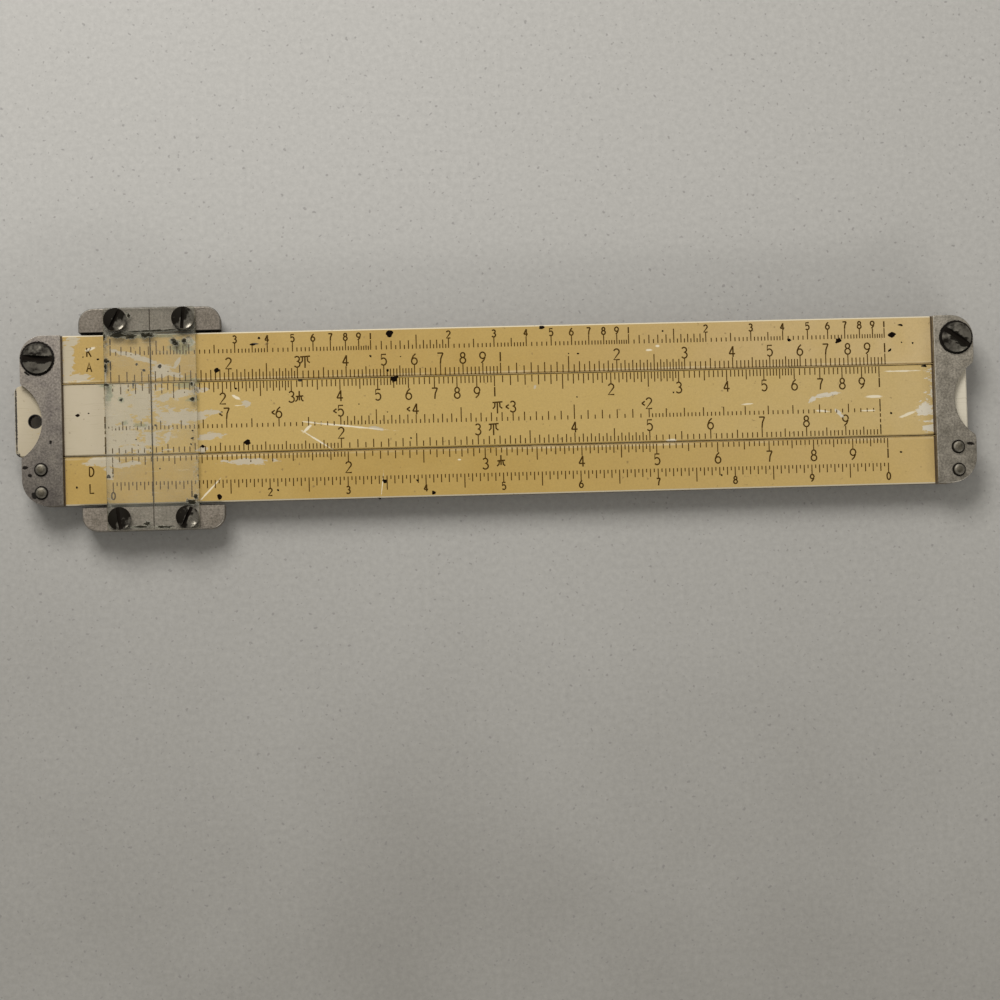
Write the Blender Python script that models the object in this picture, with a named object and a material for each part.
"""A pocket duplex slide rule with metal end brackets and a two-sided cursor.

Metres, +Z up out of the front face, +X along the rule to the right, +Y to the upper stator.
The rule lies on its rear screw heads at z = 0, and the box around it is centred in X and Y.
"""
import math

import bmesh
import bpy

MM = 0.001

# The rule's face, from the centre outwards
SCALE_LENGTH = 125.0 * MM
INDEX_TO_BRACKET = 7.8 * MM
BRACKET_WIDTH = 6.5 * MM
SLIDE_WIDTH = 11.4 * MM
STATOR_WIDTH = 7.7 * MM
THICKNESS = 3.2 * MM
EDGE_BEVEL = 0.2 * MM

# Clearances: running gap of the slide, and the gap between pieces that seat on each other
RUN_GAP = 0.2 * MM
SEAT_GAP = 0.3 * MM

# Tongue of the slide and groove of the stators
GROOVE_LIP = 0.9 * MM
TONGUE_DEPTH = 0.7 * MM
SLIDE_CORNER_RADIUS = 1.0 * MM
SLIDE_HOLE_RADIUS = 1.05 * MM
SLIDE_HOLE_INSET = 3.2 * MM
SLIDE_REST = -1.05 * MM

# End brackets: a plate in front of the stators and one behind, with a thumb notch
BRACKET_THICKNESS = 1.0 * MM
BRACKET_UPPER_RADIUS = 3.6 * MM
BRACKET_LOWER_RADIUS = 4.2 * MM
NOTCH_DEPTH = 3.0 * MM
NOTCH_LIP_RADIUS = 0.6 * MM

# Adjusting screw and its barrel nut, through the upper stator
BRACKET_HEAD_RADIUS = 2.6 * MM
BRACKET_HEAD_RIM = 0.4 * MM
BRACKET_HEAD_DOME = 0.6 * MM
BRACKET_HEAD_END_INSET = 0.25 * MM
BRACKET_HEAD_EDGE_INSET = 1.05 * MM
BRACKET_SLOT_WIDTH = 0.8 * MM
BRACKET_SLOT_DEPTH = 0.55 * MM
BRACKET_SHANK_RADIUS = 0.6 * MM
BARREL_WALL = 0.6 * MM

# Rivets through the lower stator
RIVET_HEAD_RADIUS = 1.05 * MM
RIVET_HEAD_RIM = 0.1 * MM
RIVET_HEAD_DOME = 0.35 * MM
RIVET_SHANK_RADIUS = 0.5 * MM
RIVET_FROM_END = 3.05 * MM
RIVET_FROM_EDGE = 2.1 * MM
RIVET_GROOVE_WALL = 0.2 * MM

# Cursor: two windows screwed to two edge bars
WINDOW_WIDTH = 14.7 * MM
WINDOW_THICKNESS = 0.9 * MM
WINDOW_CORNER_RADIUS = 0.5 * MM
WINDOW_BEVEL = 0.1 * MM
WINDOW_FACE_GAP = 0.3 * MM
BAR_OVERHANG = 4.0 * MM
BAR_DEPTH = 3.9 * MM
BAR_EDGE_GAP = 0.35 * MM
BAR_CORNER_RADIUS = 2.4 * MM
BAR_BEVEL = 0.2 * MM
CURSOR_FROM_INDEX = 6.38 * MM

# Cursor screws
CURSOR_HEAD_RADIUS = 1.92 * MM
CURSOR_HEAD_RIM = 0.35 * MM
CURSOR_HEAD_DOME = 0.75 * MM
CURSOR_SLOT_WIDTH = 0.55 * MM
CURSOR_SLOT_DEPTH = 0.6 * MM
CURSOR_SHANK_RADIUS = 0.6 * MM
CURSOR_SCREW_INSET = 1.95 * MM

# Bowed leaf spring in a pocket of the upper bar
LEAF_THICKNESS = 0.2 * MM
LEAF_BOW = 0.55 * MM
LEAF_RUN_GAP = 0.15 * MM
POCKET_END_WALL = 2.5 * MM
POCKET_SIDE_WALL = 0.5 * MM

# How far cutters run past what they cut, and the distance that welds points
OVERRUN = 0.5 * MM
WELD = 0.0001 * MM

# How far each slot is turned, in degrees
LEVEL_TURN = -5
LEANING_TURN = -35
CURSOR_TURNS = {("left", "upper"): 62, ("right", "upper"): 84, ("left", "lower"): 98, ("right", "lower"): 65}
REAR_TURN = 20

ARC_STEPS = 10
TURN_STEPS = 24
DOME_STEPS = 4
BEVEL_ANGLE = math.radians(40)

# Sizes that follow from the ones above
FACE_LENGTH = SCALE_LENGTH + 2 * INDEX_TO_BRACKET
BODY_LENGTH = FACE_LENGTH + 2 * BRACKET_WIDTH
BODY_WIDTH = SLIDE_WIDTH + 2 * RUN_GAP + 2 * STATOR_WIDTH
HALF_THICKNESS = THICKNESS / 2
STATOR_Y = (BODY_WIDTH - STATOR_WIDTH) / 2
SLIDE_LENGTH = BODY_LENGTH

GROOVE_HEIGHT = THICKNESS - 2 * GROOVE_LIP
GROOVE_DEPTH = TONGUE_DEPTH + RUN_GAP
TONGUE_HEIGHT = GROOVE_HEIGHT - 2 * RUN_GAP

BRACKET_X = (BODY_LENGTH - BRACKET_WIDTH) / 2
BRACKET_Z = HALF_THICKNESS + SEAT_GAP + BRACKET_THICKNESS / 2
BRACKET_HEAD_SEAT = HALF_THICKNESS + SEAT_GAP + BRACKET_THICKNESS + SEAT_GAP
BRACKET_SCREW_X = BODY_LENGTH / 2 - BRACKET_HEAD_END_INSET - BRACKET_HEAD_RADIUS
BRACKET_SCREW_Y = BODY_WIDTH / 2 - BRACKET_HEAD_EDGE_INSET - BRACKET_HEAD_RADIUS
BORE_RADIUS = BRACKET_SHANK_RADIUS + SEAT_GAP
BARREL_RADIUS = BORE_RADIUS + BARREL_WALL
BARREL_HOLE_RADIUS = BARREL_RADIUS + SEAT_GAP

RIVET_HOLE_RADIUS = RIVET_SHANK_RADIUS + SEAT_GAP
RIVET_X = BODY_LENGTH / 2 - RIVET_FROM_END
RIVET_OUTER_Y = RIVET_FROM_EDGE - BODY_WIDTH / 2
GROOVE_FLOOR_Y = STATOR_WIDTH - GROOVE_DEPTH - BODY_WIDTH / 2
RIVET_INNER_Y = GROOVE_FLOOR_Y - RIVET_GROOVE_WALL - RIVET_HOLE_RADIUS

CURSOR_REST = CURSOR_FROM_INDEX - SCALE_LENGTH / 2
BAR_THICKNESS = THICKNESS + 2 * (WINDOW_FACE_GAP - SEAT_GAP)
BAR_LENGTH = WINDOW_WIDTH + 2 * BAR_OVERHANG
BAR_INNER_Y = BODY_WIDTH / 2 + BAR_EDGE_GAP
BAR_Y = BAR_INNER_Y + BAR_DEPTH / 2
CURSOR_DEPTH = 2 * (BAR_INNER_Y + BAR_DEPTH)
WINDOW_Z = HALF_THICKNESS + WINDOW_FACE_GAP + WINDOW_THICKNESS / 2
CURSOR_HEAD_SEAT = HALF_THICKNESS + WINDOW_FACE_GAP + WINDOW_THICKNESS + SEAT_GAP
CURSOR_SCREW_X = WINDOW_WIDTH / 2 - CURSOR_SCREW_INSET
CURSOR_HOLE_RADIUS = CURSOR_SHANK_RADIUS + SEAT_GAP

LEAF_CROWN_Y = BODY_WIDTH / 2 + LEAF_RUN_GAP
POCKET_FLOOR_Y = LEAF_CROWN_Y + LEAF_BOW + LEAF_THICKNESS + SEAT_GAP
POCKET_LENGTH = BAR_LENGTH - 2 * POCKET_END_WALL
POCKET_HEIGHT = BAR_THICKNESS - 2 * POCKET_SIDE_WALL
LEAF_LENGTH = POCKET_LENGTH - 2 * SEAT_GAP
LEAF_HEIGHT = POCKET_HEIGHT - 2 * SEAT_GAP

# Looks of the pieces: colour, roughness and metallic value
ENAMEL = ((0.72, 0.53, 0.25), 0.45, 0.0)
PLATE_METAL = ((0.36, 0.35, 0.33), 0.42, 1.0)
SCREW_METAL = ((0.22, 0.21, 0.19), 0.38, 1.0)
RIVET_METAL = ((0.40, 0.39, 0.36), 0.35, 1.0)
CLEAR_PLASTIC = ((0.80, 0.78, 0.62), 0.12, 0.0)
SPRING_BRONZE = ((0.50, 0.33, 0.16), 0.35, 1.0)


def sphere_radius(rim_radius, dome_height):
    """Radius of the sphere whose cap has this rim and height."""
    return (rim_radius ** 2 + dome_height ** 2) / (2 * dome_height)


def dome_drop(radius_at, rim_radius, dome_height):
    """How far a dome lies below its top at a distance from its axis."""
    sphere = sphere_radius(rim_radius, dome_height)
    return sphere - math.sqrt(sphere ** 2 - radius_at ** 2)


def slotted_top(rim, dome, head_radius, slot_width):
    """Height of a slotted dome over its seat: the slot takes the very top away."""
    return rim + dome - dome_drop(slot_width / 2, head_radius, dome)


# Where the whole rule lies: on its rear heads, with its box centred along X
BRACKET_TOP = BRACKET_HEAD_SEAT + slotted_top(
    BRACKET_HEAD_RIM, BRACKET_HEAD_DOME, BRACKET_HEAD_RADIUS, BRACKET_SLOT_WIDTH)
CURSOR_TOP = CURSOR_HEAD_SEAT + slotted_top(
    CURSOR_HEAD_RIM, CURSOR_HEAD_DOME, CURSOR_HEAD_RADIUS, CURSOR_SLOT_WIDTH)
MIDDLE_Z = max(BRACKET_TOP, CURSOR_TOP)
LEFTMOST = min(-BODY_LENGTH / 2, SLIDE_REST - SLIDE_LENGTH / 2)
RIGHTMOST = max(BODY_LENGTH / 2, SLIDE_REST + SLIDE_LENGTH / 2)
BODY_X = -(LEFTMOST + RIGHTMOST) / 2


def clear_scene():
    """Start from an empty scene."""
    for thing in list(bpy.data.objects):
        bpy.data.objects.remove(thing, do_unlink=True)


def add_empty(name, place, parent=None):
    """An empty that carries the pieces of one body."""
    empty = bpy.data.objects.new(name, None)
    empty.location = place
    empty.parent = parent
    bpy.context.scene.collection.objects.link(empty)
    return empty


def mesh_from(name, mesh_builder):
    """Closed mesh from a bmesh, welded and with its normals out."""
    bmesh.ops.remove_doubles(mesh_builder, verts=mesh_builder.verts, dist=WELD)
    bmesh.ops.recalc_face_normals(mesh_builder, faces=mesh_builder.faces)
    mesh = bpy.data.meshes.new(name)
    mesh_builder.to_mesh(mesh)
    mesh_builder.free()
    return mesh


def add_piece(name, mesh, parent, place, look):
    """One named sub-part with its own material."""
    piece = bpy.data.objects.new(name, mesh)
    piece.location = place
    piece.parent = parent
    bpy.context.scene.collection.objects.link(piece)
    colour, roughness, metallic = look
    finish = bpy.data.materials.new(name + "_finish")
    finish.use_nodes = True
    shader = finish.node_tree.nodes["Principled BSDF"]
    shader.inputs["Base Color"].default_value = (*colour, 1.0)
    shader.inputs["Roughness"].default_value = roughness
    shader.inputs["Metallic"].default_value = metallic
    mesh.materials.append(finish)
    return piece


def round_edges(piece, width):
    """Break the sharp edges of a piece with a small bevel."""
    bevel = piece.modifiers.new("edge_bevel", "BEVEL")
    bevel.width = width
    bevel.segments = 1
    bevel.limit_method = "ANGLE"
    bevel.angle_limit = BEVEL_ANGLE


def combine(piece, mesh, place, operation):
    """Cut a mesh out of a piece, or join it on, at a place in the piece's own frame."""
    tool = bpy.data.objects.new(mesh.name, mesh)
    tool.location = place
    tool.parent = piece
    tool.hide_render = True
    tool.display_type = "WIRE"
    bpy.context.scene.collection.objects.link(tool)
    boolean = piece.modifiers.new(mesh.name, "BOOLEAN")
    boolean.operation = operation
    boolean.solver = "EXACT"
    boolean.object = tool


def arc(centre, radius, start, end, steps=ARC_STEPS):
    """Points of an arc between two angles in degrees, both ends with it."""
    points = []
    for step in range(steps + 1):
        angle = math.radians(start + (end - start) * step / steps)
        points.append((centre[0] + radius * math.cos(angle), centre[1] + radius * math.sin(angle)))
    return points


def rounded_rectangle(length, width, low_radius, high_radius):
    """Outline about zero, with one radius for the -Y corners and one for the +Y corners."""
    corners = ((-1, -1, low_radius, 180), (1, -1, low_radius, 270),
               (1, 1, high_radius, 0), (-1, 1, high_radius, 90))
    outline = []
    for side_x, side_y, radius, start in corners:
        centre = (side_x * (length / 2 - radius), side_y * (width / 2 - radius))
        if radius == 0:
            outline.append(centre)
        else:
            outline += arc(centre, radius, start, start + 90)
    return outline


def prism(name, outline, height):
    """A flat outline, counter-clockwise, extruded evenly about z = 0."""
    builder = bmesh.new()
    bottom = [builder.verts.new((x, y, -height / 2)) for x, y in outline]
    face = builder.faces.new(bottom)
    extruded = bmesh.ops.extrude_face_region(builder, geom=[face])
    top = [part for part in extruded["geom"] if isinstance(part, bmesh.types.BMVert)]
    bmesh.ops.translate(builder, verts=top, vec=(0, 0, height))
    return mesh_from(name, builder)


def block(name, length, width, height):
    """A plain box about zero."""
    return prism(name, rounded_rectangle(length, width, 0, 0), height)


def rod(name, radius, height):
    """A plain round rod about zero, for cutting holes."""
    builder = bmesh.new()
    bmesh.ops.create_cone(builder, cap_ends=True, segments=TURN_STEPS, radius1=radius, radius2=radius, depth=height)
    return mesh_from(name, builder)


def turned(name, profile):
    """A turned solid: the profile of radius and height is spun around z."""
    builder = bmesh.new()
    points = [builder.verts.new((radius, 0, height)) for radius, height in profile]
    edges = [builder.edges.new(pair) for pair in zip(points, points[1:])]
    bmesh.ops.spin(builder, geom=points + edges, cent=(0, 0, 0), axis=(0, 0, 1),
                   angle=math.tau, steps=TURN_STEPS, use_merge=True)
    mesh = mesh_from(name, builder)
    mesh.shade_smooth()
    mesh.set_sharp_from_angle(angle=BEVEL_ANGLE)
    return mesh


def dome_profile(rim_radius, rim, dome):
    """Head profile over its seat at z = 0, from the top down to the seat's edge."""
    profile = []
    for step in range(DOME_STEPS + 1):
        radius = rim_radius * step / DOME_STEPS
        profile.append((radius, rim + dome - dome_drop(radius, rim_radius, dome)))
    profile.append((rim_radius, 0))
    return profile


def head_with_shank(name, head, shank_radius, shank_length):
    """A domed head on a plain round shank that hangs below its seat."""
    shank = [(shank_radius, 0), (shank_radius, -shank_length), (0, -shank_length)]
    return turned(name, head + shank)


def cut_slot(piece, head_radius, top, slot_width, slot_depth):
    """Saw a screwdriver slot across a head."""
    length = 2 * (head_radius + OVERRUN)
    height = slot_depth + OVERRUN
    slot = block(piece.name + "_slot", length, slot_width, height)
    combine(piece, slot, (0, 0, top - slot_depth + height / 2), "DIFFERENCE")


def cut_hole(piece, radius, place, height, label):
    """Drill a hole along z through a piece."""
    combine(piece, rod(piece.name + "_" + label, radius, height + 2 * OVERRUN), place, "DIFFERENCE")


def bracket_outline(side):
    """Outline of an end plate about its own centre; side is 1 for the right end, -1 for the left."""
    outer = BRACKET_WIDTH / 2
    half = BODY_WIDTH / 2
    notch_half = SLIDE_WIDTH / 2 + RUN_GAP
    notch_radius = sphere_radius(notch_half, NOTCH_DEPTH)
    notch_x = outer - NOTCH_DEPTH + notch_radius
    lip_x = outer - NOTCH_LIP_RADIUS
    lip_y = math.sqrt((notch_radius + NOTCH_LIP_RADIUS) ** 2 - (notch_x - lip_x) ** 2)
    lip_angle = math.degrees(math.atan2(lip_y, notch_x - lip_x))
    low_centre = (outer - BRACKET_LOWER_RADIUS, BRACKET_LOWER_RADIUS - half)
    high_centre = (outer - BRACKET_UPPER_RADIUS, half - BRACKET_UPPER_RADIUS)
    outline = [(-outer, -half)]
    outline += arc(low_centre, BRACKET_LOWER_RADIUS, -90, 0)
    outline += arc((lip_x, -lip_y), NOTCH_LIP_RADIUS, 0, lip_angle)[:-1]
    outline += arc((notch_x, 0), notch_radius, 180 + lip_angle, 180 - lip_angle, 2 * ARC_STEPS)
    outline += arc((lip_x, lip_y), NOTCH_LIP_RADIUS, -lip_angle, 0)[1:]
    outline += arc(high_centre, BRACKET_UPPER_RADIUS, 0, 90)
    outline.append((-outer, half))
    if side < 0:
        outline = [(-x, y) for x, y in reversed(outline)]
    return outline


def make_stator(name, sign, corner_radius, frame):
    """One fixed rule: sign is 1 for the upper one, with its outer edge at +Y, and -1 for the lower one."""
    radii = (0, corner_radius) if sign > 0 else (corner_radius, 0)
    outline = rounded_rectangle(BODY_LENGTH, STATOR_WIDTH, *radii)
    stator = add_piece(name, prism(name, outline, THICKNESS), frame, (0, sign * STATOR_Y, 0), ENAMEL)
    round_edges(stator, EDGE_BEVEL)
    groove = block(name + "_groove", BODY_LENGTH + 2 * OVERRUN, GROOVE_DEPTH + OVERRUN, GROOVE_HEIGHT)
    groove_y = sign * ((OVERRUN + GROOVE_DEPTH) / 2 - OVERRUN - STATOR_WIDTH / 2)
    combine(stator, groove, (0, groove_y, 0), "DIFFERENCE")
    return stator


def make_stators(frame):
    """Both fixed rules, drilled for the bracket screws and the rivets."""
    upper = make_stator("upper_stator", 1, BRACKET_UPPER_RADIUS, frame)
    lower = make_stator("lower_stator", -1, BRACKET_LOWER_RADIUS, frame)
    for label, side in (("left", -1), ("right", 1)):
        screw_place = (side * BRACKET_SCREW_X, BRACKET_SCREW_Y - STATOR_Y, 0)
        cut_hole(upper, BARREL_HOLE_RADIUS, screw_place, THICKNESS, label + "_hole")
        for rivet_label, rivet_y in (("outer", RIVET_OUTER_Y), ("inner", RIVET_INNER_Y)):
            rivet_place = (side * RIVET_X, rivet_y + STATOR_Y, 0)
            cut_hole(lower, RIVET_HOLE_RADIUS, rivet_place, THICKNESS, label + "_" + rivet_label + "_hole")


def make_slide(frame):
    """The slide: a plate with a thin tongue along both edges and a hole near its left end."""
    outline = rounded_rectangle(SLIDE_LENGTH, SLIDE_WIDTH, SLIDE_CORNER_RADIUS, SLIDE_CORNER_RADIUS)
    slide = add_piece("slide", prism("slide", outline, THICKNESS), frame, (0, 0, 0), ENAMEL)
    round_edges(slide, EDGE_BEVEL)
    tongue_length = SLIDE_LENGTH - 2 * SLIDE_CORNER_RADIUS
    tongue_width = SLIDE_WIDTH + 2 * TONGUE_DEPTH
    tongue = block("slide_tongues", tongue_length, tongue_width, TONGUE_HEIGHT)
    combine(slide, tongue, (0, 0, 0), "UNION")
    cut_hole(slide, SLIDE_HOLE_RADIUS, (SLIDE_HOLE_INSET - SLIDE_LENGTH / 2, 0, 0), THICKNESS, "hole")


def make_bracket(name, side, height, frame):
    """One end plate, drilled for its screw and its two rivets."""
    mesh = prism(name, bracket_outline(side), BRACKET_THICKNESS)
    bracket = add_piece(name, mesh, frame, (side * BRACKET_X, 0, height), PLATE_METAL)
    round_edges(bracket, EDGE_BEVEL)
    screw_place = (side * (BRACKET_SCREW_X - BRACKET_X), BRACKET_SCREW_Y, 0)
    cut_hole(bracket, BARREL_HOLE_RADIUS, screw_place, BRACKET_THICKNESS, "screw_hole")
    for label, rivet_y in (("outer", RIVET_OUTER_Y), ("inner", RIVET_INNER_Y)):
        rivet_place = (side * (RIVET_X - BRACKET_X), rivet_y, 0)
        cut_hole(bracket, RIVET_HOLE_RADIUS, rivet_place, BRACKET_THICKNESS, label + "_rivet_hole")


def make_bracket_screw(side_name, side, turn, frame):
    """The adjusting screw, whose shank runs down the bore of its barrel nut."""
    head = dome_profile(BRACKET_HEAD_RADIUS, BRACKET_HEAD_RIM, BRACKET_HEAD_DOME)
    name = side_name + "_bracket_screw"
    shank_length = BRACKET_HEAD_SEAT + HALF_THICKNESS
    mesh = head_with_shank(name, head, BRACKET_SHANK_RADIUS, shank_length)
    place = (side * BRACKET_SCREW_X, BRACKET_SCREW_Y, BRACKET_HEAD_SEAT)
    screw = add_piece(name, mesh, frame, place, SCREW_METAL)
    screw.rotation_euler = (0, 0, math.radians(turn))
    top = BRACKET_HEAD_RIM + BRACKET_HEAD_DOME
    cut_slot(screw, BRACKET_HEAD_RADIUS, top, BRACKET_SLOT_WIDTH, BRACKET_SLOT_DEPTH)


def make_bracket_nut(side_name, side, frame):
    """The slotted barrel nut behind the screw: its barrel reaches into the front plate."""
    name = side_name + "_bracket_nut"
    barrel_end = -(BRACKET_HEAD_SEAT + HALF_THICKNESS + BRACKET_THICKNESS)
    bore_floor = -(BRACKET_HEAD_SEAT - HALF_THICKNESS - SEAT_GAP)
    profile = dome_profile(BRACKET_HEAD_RADIUS, BRACKET_HEAD_RIM, BRACKET_HEAD_DOME)
    profile += [(BARREL_RADIUS, 0), (BARREL_RADIUS, barrel_end), (BORE_RADIUS, barrel_end)]
    profile += [(BORE_RADIUS, bore_floor), (0, bore_floor)]
    place = (side * BRACKET_SCREW_X, BRACKET_SCREW_Y, -BRACKET_HEAD_SEAT)
    nut = add_piece(name, turned(name, profile), frame, place, SCREW_METAL)
    nut.rotation_euler = (math.pi, 0, math.radians(REAR_TURN))
    top = BRACKET_HEAD_RIM + BRACKET_HEAD_DOME
    cut_slot(nut, BRACKET_HEAD_RADIUS, top, BRACKET_SLOT_WIDTH, BRACKET_SLOT_DEPTH)


def make_rivet(name, side, rivet_y, frame):
    """A rivet with a low domed head at both ends of its shank."""
    head = dome_profile(RIVET_HEAD_RADIUS, RIVET_HEAD_RIM, RIVET_HEAD_DOME)
    upper = [(radius, BRACKET_HEAD_SEAT + height) for radius, height in head]
    lower = [(radius, -height) for radius, height in reversed(upper)]
    shank = [(RIVET_SHANK_RADIUS, BRACKET_HEAD_SEAT), (RIVET_SHANK_RADIUS, -BRACKET_HEAD_SEAT)]
    mesh = turned(name, upper + shank + lower)
    add_piece(name, mesh, frame, (side * RIVET_X, rivet_y, 0), RIVET_METAL)


def make_ends(frame):
    """Both ends: front and rear plates, adjusting screws with their nuts, and rivets."""
    for side_name, side, turn in (("left", -1, LEVEL_TURN), ("right", 1, LEANING_TURN)):
        make_bracket(side_name + "_front_bracket", side, BRACKET_Z, frame)
        make_bracket(side_name + "_rear_bracket", side, -BRACKET_Z, frame)
        make_bracket_screw(side_name, side, turn, frame)
        make_bracket_nut(side_name, side, frame)
        make_rivet(side_name + "_outer_rivet", side, RIVET_OUTER_Y, frame)
        make_rivet(side_name + "_inner_rivet", side, RIVET_INNER_Y, frame)


def make_cursor_bar(name, sign, frame):
    """An edge bar with rounded outer corners; sign is 1 for the upper bar and -1 for the lower one."""
    radii = (0, BAR_CORNER_RADIUS) if sign > 0 else (BAR_CORNER_RADIUS, 0)
    mesh = prism(name, rounded_rectangle(BAR_LENGTH, BAR_DEPTH, *radii), BAR_THICKNESS)
    bar = add_piece(name, mesh, frame, (0, sign * BAR_Y, 0), PLATE_METAL)
    round_edges(bar, BAR_BEVEL)
    for label, side in (("left", -1), ("right", 1)):
        cut_hole(bar, CURSOR_HOLE_RADIUS, (side * CURSOR_SCREW_X, 0, 0), BAR_THICKNESS, label + "_hole")
    return bar


def leaf_outline():
    """The leaf spring from above: two arcs about one centre, its crown at zero towards -Y."""
    radius = sphere_radius(LEAF_LENGTH / 2, LEAF_BOW)
    spread = math.degrees(math.asin(LEAF_LENGTH / 2 / radius))
    near = arc((0, radius), radius, 270 - spread, 270 + spread, 2 * ARC_STEPS)
    far = arc((0, radius), radius - LEAF_THICKNESS, 270 + spread, 270 - spread, 2 * ARC_STEPS)
    return near + far


def make_leaf_spring(upper_bar, frame):
    """The bowed leaf that presses the cursor up, and the pocket in the bar that holds it."""
    depth = POCKET_FLOOR_Y - BAR_INNER_Y + OVERRUN
    pocket = block("cursor_upper_bar_pocket", POCKET_LENGTH, depth, POCKET_HEIGHT)
    combine(upper_bar, pocket, (0, POCKET_FLOOR_Y - depth / 2 - BAR_Y, 0), "DIFFERENCE")
    mesh = prism("cursor_leaf_spring", leaf_outline(), LEAF_HEIGHT)
    add_piece("cursor_leaf_spring", mesh, frame, (0, LEAF_CROWN_Y, 0), SPRING_BRONZE)


def make_window(name, height, frame):
    """One clear window, drilled for its four screws."""
    outline = rounded_rectangle(WINDOW_WIDTH, CURSOR_DEPTH, WINDOW_CORNER_RADIUS, WINDOW_CORNER_RADIUS)
    window = add_piece(name, prism(name, outline, WINDOW_THICKNESS), frame, (0, 0, height), CLEAR_PLASTIC)
    round_edges(window, WINDOW_BEVEL)
    for label, side in (("left", -1), ("right", 1)):
        for row_label, row in (("upper", 1), ("lower", -1)):
            place = (side * CURSOR_SCREW_X, row * BAR_Y, 0)
            cut_hole(window, CURSOR_HOLE_RADIUS, place, WINDOW_THICKNESS, label + "_" + row_label + "_hole")


def make_cursor_screws(frame):
    """Eight domed screws, four from the front and four from behind, that meet in the bars' holes."""
    shank_length = CURSOR_HEAD_SEAT - SEAT_GAP / 2
    top = CURSOR_HEAD_RIM + CURSOR_HEAD_DOME
    head = dome_profile(CURSOR_HEAD_RADIUS, CURSOR_HEAD_RIM, CURSOR_HEAD_DOME)
    for face, facing in (("front", 1), ("rear", -1)):
        for side_name, side in (("left", -1), ("right", 1)):
            for row_name, row in (("upper", 1), ("lower", -1)):
                name = "_".join(("cursor", face, "screw", side_name, row_name))
                mesh = head_with_shank(name, head, CURSOR_SHANK_RADIUS, shank_length)
                place = (side * CURSOR_SCREW_X, row * BAR_Y, facing * CURSOR_HEAD_SEAT)
                screw = add_piece(name, mesh, frame, place, SCREW_METAL)
                turn = math.radians(CURSOR_TURNS[(side_name, row_name)])
                screw.rotation_euler = (0 if facing > 0 else math.pi, 0, turn)
                cut_slot(screw, CURSOR_HEAD_RADIUS, top, CURSOR_SLOT_WIDTH, CURSOR_SLOT_DEPTH)


def make_cursor(frame):
    """The cursor: bars, leaf spring, windows and screws."""
    upper_bar = make_cursor_bar("cursor_upper_bar", 1, frame)
    make_cursor_bar("cursor_lower_bar", -1, frame)
    make_leaf_spring(upper_bar, frame)
    make_window("cursor_front_window", WINDOW_Z, frame)
    make_window("cursor_rear_window", -WINDOW_Z, frame)
    make_cursor_screws(frame)


def build():
    """The whole rule, with the slide and the cursor where the photograph has them."""
    clear_scene()
    rule = add_empty("rule", (BODY_X, 0, MIDDLE_Z))
    slide_travel = add_empty("slide_travel", (SLIDE_REST, 0, 0), rule)
    cursor_travel = add_empty("cursor_travel", (CURSOR_REST, 0, 0), rule)
    make_stators(rule)
    make_slide(slide_travel)
    make_ends(rule)
    make_cursor(cursor_travel)
    cursor_reach = (FACE_LENGTH - WINDOW_WIDTH) / 2 - SEAT_GAP
    print("body centre x in mm", BODY_X / MM, "middle height in mm", MIDDLE_Z / MM)
    print("slide travel in mm", (-SCALE_LENGTH - SLIDE_REST) / MM, (SCALE_LENGTH - SLIDE_REST) / MM)
    print("cursor travel in mm", (-cursor_reach - CURSOR_REST) / MM, (cursor_reach - CURSOR_REST) / MM)


build()
